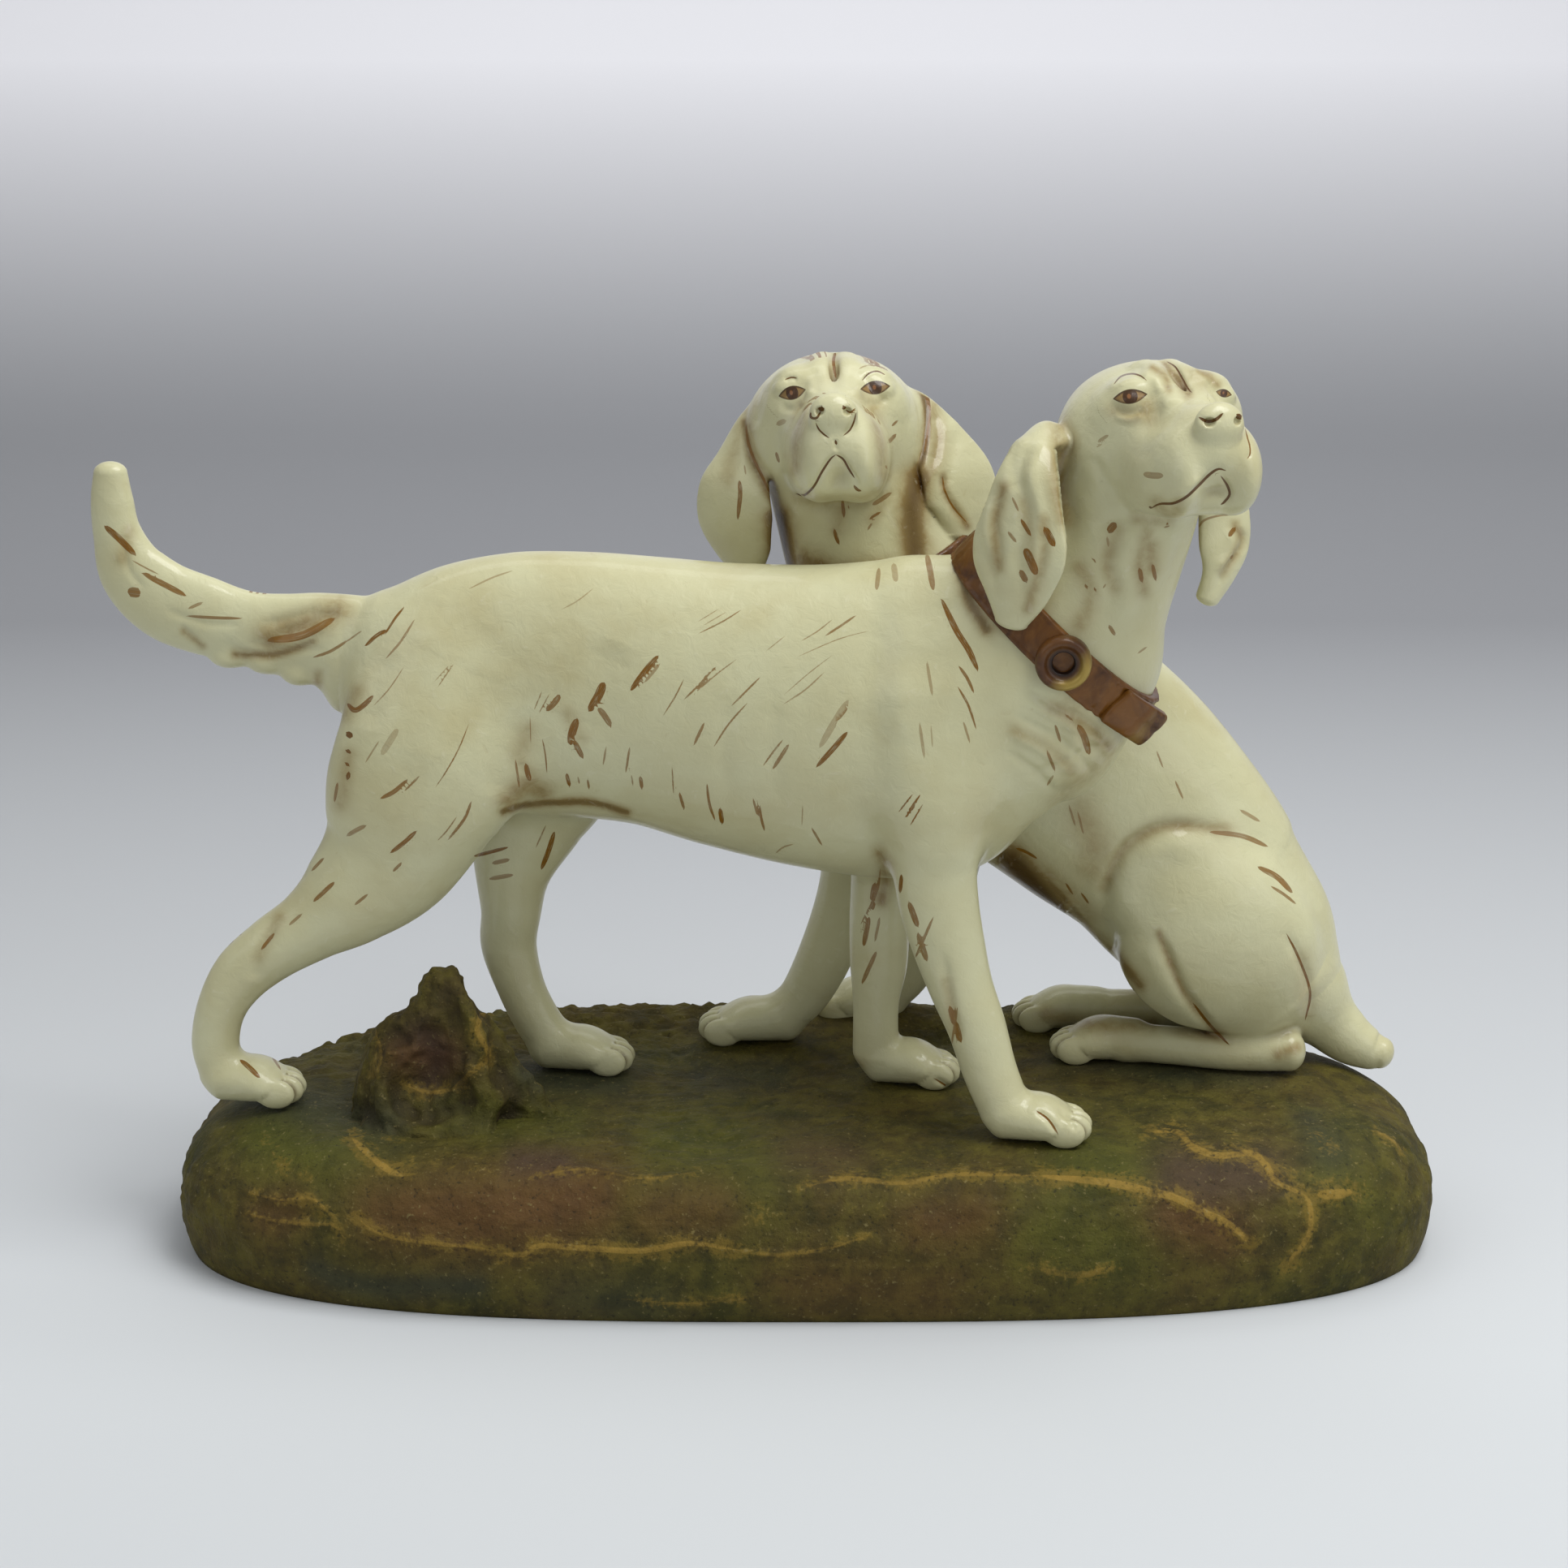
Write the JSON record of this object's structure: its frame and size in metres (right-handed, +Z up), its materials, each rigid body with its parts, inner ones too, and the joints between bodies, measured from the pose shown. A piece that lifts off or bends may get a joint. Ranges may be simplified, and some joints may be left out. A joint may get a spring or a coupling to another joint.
{
  "type": "porcelain_figure_group",
  "caption": "Glazed porcelain group of a standing hound and a seated hound with brown collars, on an oval ground base painted as moss, with a hollow tree stump",
  "frame": {"origin": "middle of the footprint, on the surface the base stands on", "axes": "+X to the viewer's right, the way the standing hound faces; +Y away from the viewer, towards the seated hound; +Z up"},
  "size_m": [0.4034, 0.153, 0.2721],
  "materials": {
    "porcelain": "satin glaze, ivory, painted with brown strokes",
    "collar_glaze": "brown glaze painted as leather",
    "gilt": "brown glaze with a gilt rim",
    "painted_ground": "matt fired colours, moss green with brown and ochre"
  },
  "bodies": {
    "root": {"ground_base": "painted_ground", "tree_stump": "painted_ground", "standing_body": "porcelain", "standing_near_hind_leg": "porcelain", "standing_far_hind_leg": "porcelain", "standing_near_foreleg": "porcelain", "standing_far_foreleg": "porcelain", "standing_tail": "porcelain", "standing_neck": "porcelain", "standing_head": "porcelain", "standing_near_ear": "porcelain", "standing_far_ear": "porcelain", "standing_collar": "collar_glaze", "standing_strap_end": "collar_glaze", "standing_collar_eyelet": "gilt", "seated_body": "porcelain", "seated_neck": "porcelain", "seated_head": "porcelain", "seated_near_ear": "porcelain", "seated_far_ear": "porcelain", "seated_near_haunch": "porcelain", "seated_far_haunch": "porcelain", "seated_near_hind_foot": "porcelain", "seated_far_hind_foot": "porcelain", "seated_near_foreleg": "porcelain", "seated_far_foreleg": "porcelain", "seated_tail": "porcelain", "seated_collar": "collar_glaze"}
  },
  "joints": []
}
